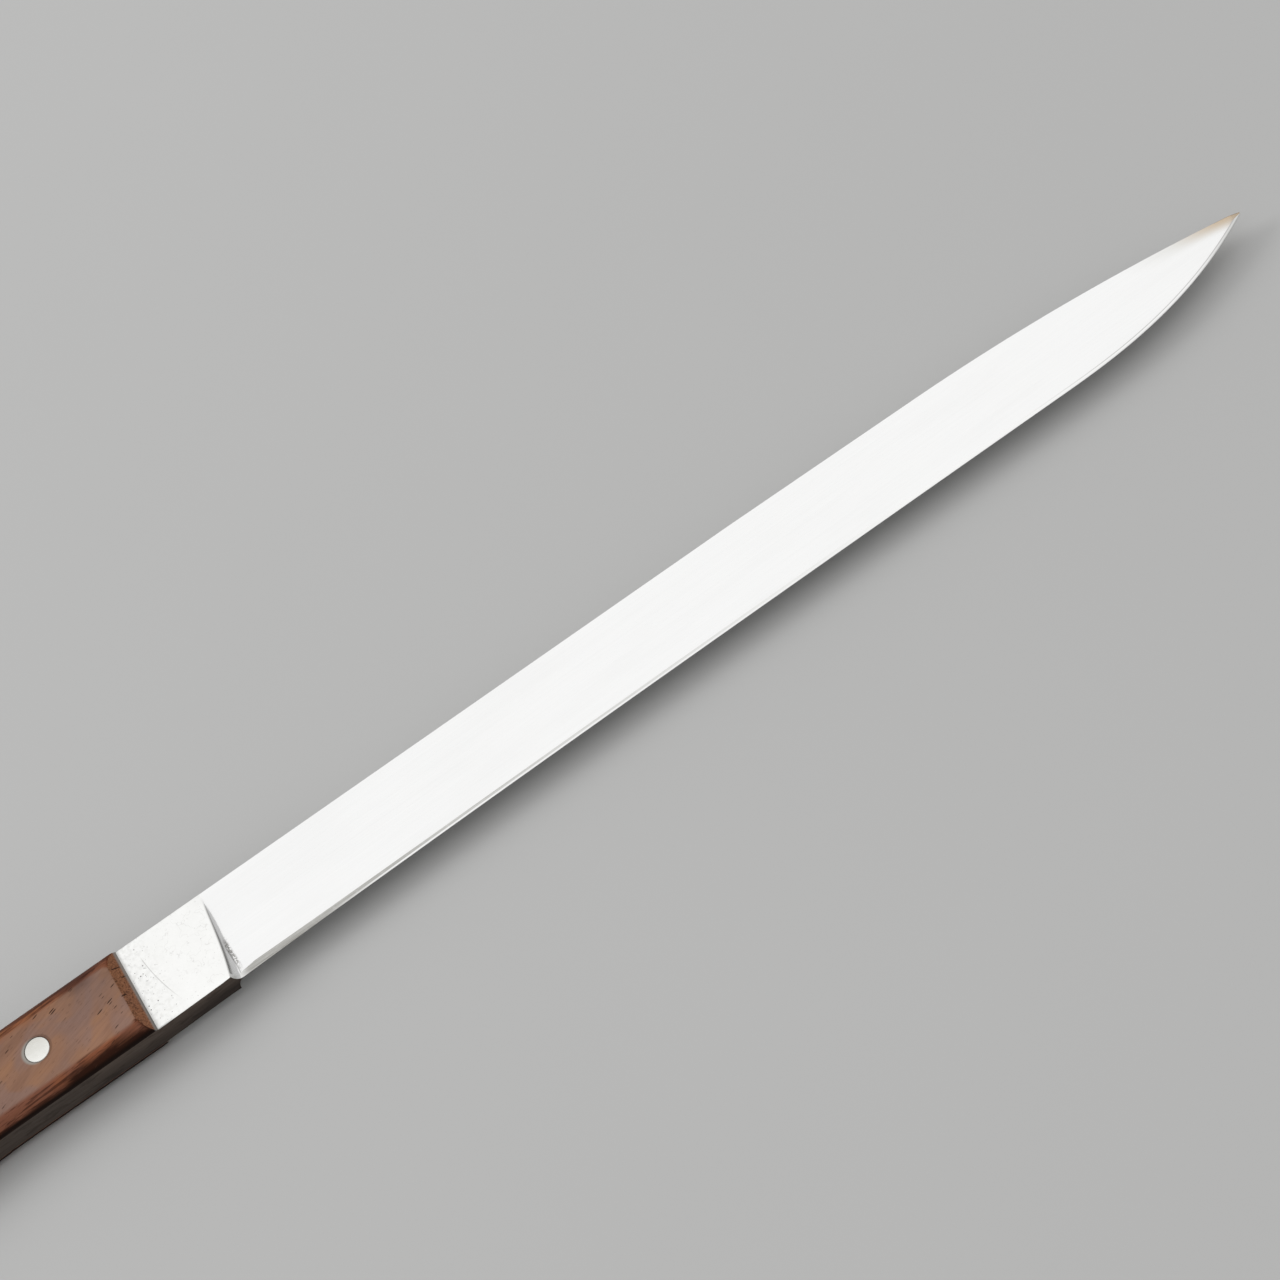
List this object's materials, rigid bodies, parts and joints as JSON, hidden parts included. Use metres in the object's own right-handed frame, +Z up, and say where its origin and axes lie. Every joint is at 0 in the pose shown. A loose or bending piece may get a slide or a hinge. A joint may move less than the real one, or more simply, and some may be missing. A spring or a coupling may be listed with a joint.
{
  "type": "fixed blade knife",
  "caption": "Long, straight fixed blade knife: flat-ground blade, ricasso and full tang in one steel bar, with wooden scales and flush steel pins.",
  "frame": {"origin": "middle of the knife's box, on the surface that the right-hand scale lies on", "axes": "+X to the tip, +Y to the back of the blade, +Z up through the knife's thickness"},
  "size_m": [0.418, 0.0254, 0.012],
  "materials": {
    "blade_steel": "bright polished flat grind, satin ricasso with light scratches and pits",
    "handle_wood": "dark reddish brown open-pored wood, oiled and hand polished",
    "pin_steel": "flush, finely sanded"
  },
  "bodies": {
    "root": {"blade": "blade_steel", "scale_left": "handle_wood", "scale_right": "handle_wood", "front_pin": "pin_steel", "middle_pin": "pin_steel", "rear_pin": "pin_steel"}
  },
  "joints": []
}
